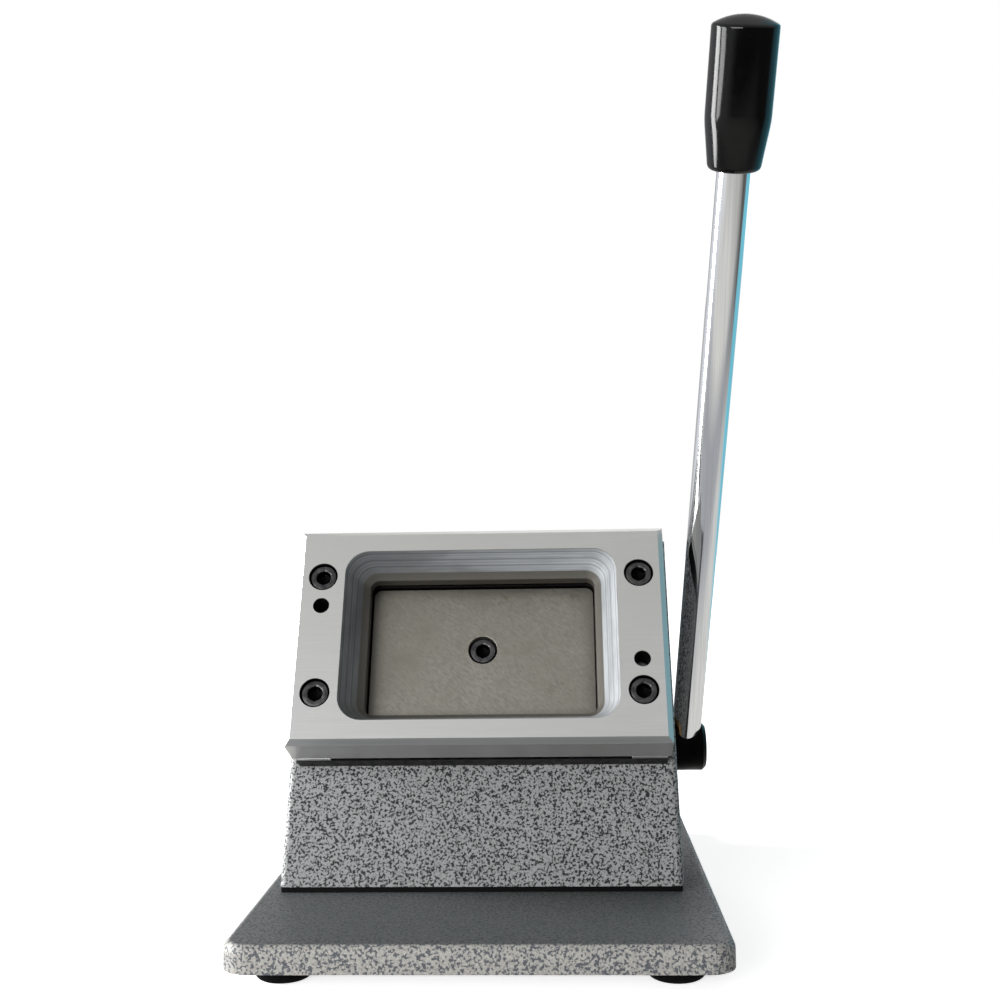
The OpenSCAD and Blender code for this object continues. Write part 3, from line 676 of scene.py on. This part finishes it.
# The width of the broken edges of each node, in mm
for node, edge in {
    "die_plate": 0.35,
    "base_plate": 0.3,
    "body_casting": 0.5,
    "bolster_plate": 0.3,
    "spacer_left": 0.2,
    "spacer_right": 0.2,
    "punch": 0.25,
}.items():
    dressed(node, edge)
dressed("rear_cover", edge=0.5, segments=3)
for node, edge in {
    "main_shaft": 0.3,
    "ram": 0.5,
    "pressure_pad": 0.3,
    "eccentric_cam": 0.4,
    "shaft_collar": 0.4,
    "bushing_left": 0.3,
    "bushing_right": 0.3,
    "post_bushings": 0.25,
    "guide_posts": 0.2,
    "dowel_pins": 0.35,
}.items():
    dressed(node, edge)
for node in ("cover_screws", "foot_screws"):
    dressed(node, edge=0.12, turn=35)
knob()
rod()
feet()
# Painted shade: a black strip under the body's foot.
gap_shade_strip()
springs()
socket_screws("die_screws", [DIE @ offset(x, up, -1) for x, up in four(*DIE_SCREWS)], *M6_SCREW, 30)
socket_screws("punch_screw", [DIE @ offset(0, PUNCH_SCREW, -23.2)], *M6_SCREW, 20)
from_below = [offset(x, y, 5.8) @ UPSIDE_DOWN for x in (-54, 50) for y in (-20, 69.5)]
socket_screws("body_screws", from_below, *M6_SCREW, 12)


# ---- Stage, camera and light ----


def camera():
    """A camera at the photograph's own place, fitted to the card's window and the base."""
    yaw, pitch, roll = (math.radians(a) for a in (2.541, 1.371, -0.863))
    forward = Vector((-math.sin(yaw) * math.cos(pitch), math.cos(yaw) * math.cos(pitch), math.sin(pitch)))
    right = Vector((math.cos(yaw), math.sin(yaw), 0))
    up = right.cross(forward)
    across = math.cos(roll) * right + math.sin(roll) * up
    above = -math.sin(roll) * right + math.cos(roll) * up
    place = offset(27.44, -506.3, 142.24)
    data = bpy.data.cameras.new("camera")
    data.sensor_width = 36
    data.lens = 46.6
    data.clip_start = 0.01
    holder = bpy.data.objects.new("camera", data)
    holder.matrix_world = place @ Matrix(
        [[a, b, c, 0] for a, b, c in zip(across, above, -forward)] + [[0, 0, 0, 1]]
    )
    bpy.context.scene.collection.objects.link(holder)
    bpy.context.scene.camera = holder


def soft_box(name, place, aim, size, power):
    """A rectangular lamp, of a size in metres and a power in watts, that the camera doesn't see."""
    data = bpy.data.lights.new(name, "AREA")
    data.shape = "RECTANGLE"
    data.size, data.size_y = size
    data.energy = power
    lamp = bpy.data.objects.new(name, data)
    lamp.location = place
    lamp.rotation_euler = (Vector(aim) - Vector(place)).to_track_quat("-Z", "Y").to_euler()
    lamp.visible_camera = False
    bpy.context.scene.collection.objects.link(lamp)


def room():
    """White to the camera.

    The metal shows a dim grey behind the object, a grey that brightens upwards in front of it, a lighter wall on
    the left, and a blue-green one behind on the right.
    """
    world = bpy.data.worlds.new("room")
    world.use_nodes = True
    bpy.context.scene.world = world
    n = Nodes(world.node_tree)
    n.tree.nodes.clear()
    x, y, z = n.split(n.add("ShaderNodeTexCoord").outputs["Generated"])
    ahead = n.ramp(z, (0.0, (0.06, 0.06, 0.058)), (0.25, (0.2, 0.2, 0.2)), (0.6, (0.36, 0.362, 0.365)))
    seen = n.mix(n.ramp(y, (0.1, 0.0), (0.45, 1.0)), ahead, (0.24, 0.24, 0.245))
    wall = n.math("MULTIPLY", n.ramp(x, (0.3, 0.0), (0.5, 1.0)), n.ramp(y, (0.1, 0.0), (0.25, 1.0)))
    seen = n.mix(wall, seen, (0.1, 0.3, 0.37))
    seen = n.mix(n.ramp(n.math("MULTIPLY", x, -1.0), (0.5, 0.0), (0.8, 1.0)), seen, (0.4, 0.41, 0.43))
    path = n.add("ShaderNodeLightPath")
    shades = []
    for colour, strength in (((0.95, 0.98, 1), 0.14), (seen, 2.0), ((1, 1, 1), 1.0)):
        shade = n.add("ShaderNodeBackground")
        shade.inputs["Strength"].default_value = strength
        if isinstance(colour, tuple):
            shade.inputs["Color"].default_value = (*colour, 1)
        else:
            n.link(colour, shade.inputs["Color"])
        shades.append(shade.outputs[0])
    light, reflection, white = shades
    inner = n.add("ShaderNodeMixShader")
    n.link(path.outputs["Is Glossy Ray"], inner.inputs[0])
    n.link(light, inner.inputs[1]).link(reflection, inner.inputs[2])
    outer = n.add("ShaderNodeMixShader")
    open_view = n.math("MAXIMUM", path.outputs["Is Camera Ray"], path.outputs["Is Transmission Ray"])
    n.link(open_view, outer.inputs[0]).link(inner.outputs[0], outer.inputs[1]).link(white, outer.inputs[2])
    n.link(outer.outputs[0], n.add("ShaderNodeOutputWorld").inputs["Surface"])


def floor():
    """A white floor that keeps the object's shadow. The metal sees it near by as a glow: pale, with a painted
    shadow just in front of the object and dark beyond half a metre in front; and the room beyond it.
    """
    bm = bmesh.new()
    bmesh.ops.create_circle(bm, cap_ends=True, radius=6, segments=64)
    mesh = bpy.data.meshes.new("floor")
    bm.to_mesh(mesh)
    bm.free()
    plane = bpy.data.objects.new("floor", mesh)
    bpy.context.scene.collection.objects.link(plane)
    f = Finish("floor_white", Roughness=0.9, Specular_IOR_Level=0.1)
    path = f.add("ShaderNodeLightPath")
    to_camera, to_metal = path.outputs["Is Camera Ray"], path.outputs["Is Glossy Ray"]
    away = f.add("ShaderNodeVectorMath", operation="LENGTH")
    f.link(f.coords, away.inputs[0])
    far = f.ramp(away.outputs["Value"], (0.35, 0.0), (0.8, 1.0))
    # Painted shadow: what the metal sees of the floor glows, darker in a band just in front of the object, and
    # dark further in front.
    floor_glow_with_painted_shadow = f.ramp(
        f.math("MULTIPLY", f.split(f.coords)["Y"], -1.0),
        (0.0, (0.7, 0.7, 0.67)), (0.1, (0.4, 0.41, 0.43)), (0.17, (0.4, 0.41, 0.43)),
        (0.24, (0.7, 0.69, 0.66)), (0.46, (0.7, 0.69, 0.66)), (0.52, (0.02, 0.02, 0.02)),
    )
    f.to("Base Color", f.mix(to_metal, (0.9, 0.9, 0.9), (0.0, 0.0, 0.0)))
    f.to("Emission Color", f.mix(to_metal, (1, 1, 1), floor_glow_with_painted_shadow))
    seen = f.math("MULTIPLY", to_camera, f.math("MULTIPLY_ADD", far, 0.4, 0.74))
    f.to("Emission Strength", f.math("ADD", seen, to_metal))
    beyond = f.add("ShaderNodeMixShader")
    gone = f.math("MULTIPLY", to_metal, far)
    f.link(gone, beyond.inputs[0]).link(f.shader.outputs[0], beyond.inputs[1])
    f.link(f.add("ShaderNodeBsdfTransparent").outputs[0], beyond.inputs[2])
    f.link(beyond.outputs[0], f.tree.nodes["Material Output"].inputs["Surface"])
    mesh.materials.append(f.material)


camera()
room()
floor()
soft_box("front_window", (-0.75, -1.3, 0.33), (0, 0, 0.08), (1.0, 0.7), 19)
soft_box("left_window", (-1.15, -0.25, 0.3), (0, 0, 0.1), (0.35, 0.6), 8)
soft_box("left_strip", (-0.75, 0.12, 0.3), (0.1, -0.05, 0.2), (0.24, 0.8), 12)
soft_box("back_fill", (0.3, 1.5, 1.0), (0, 0, 0.1), (1.4, 1.0), 5)

bpy.context.scene.view_settings.view_transform = "Standard"
bpy.context.view_layer.update()
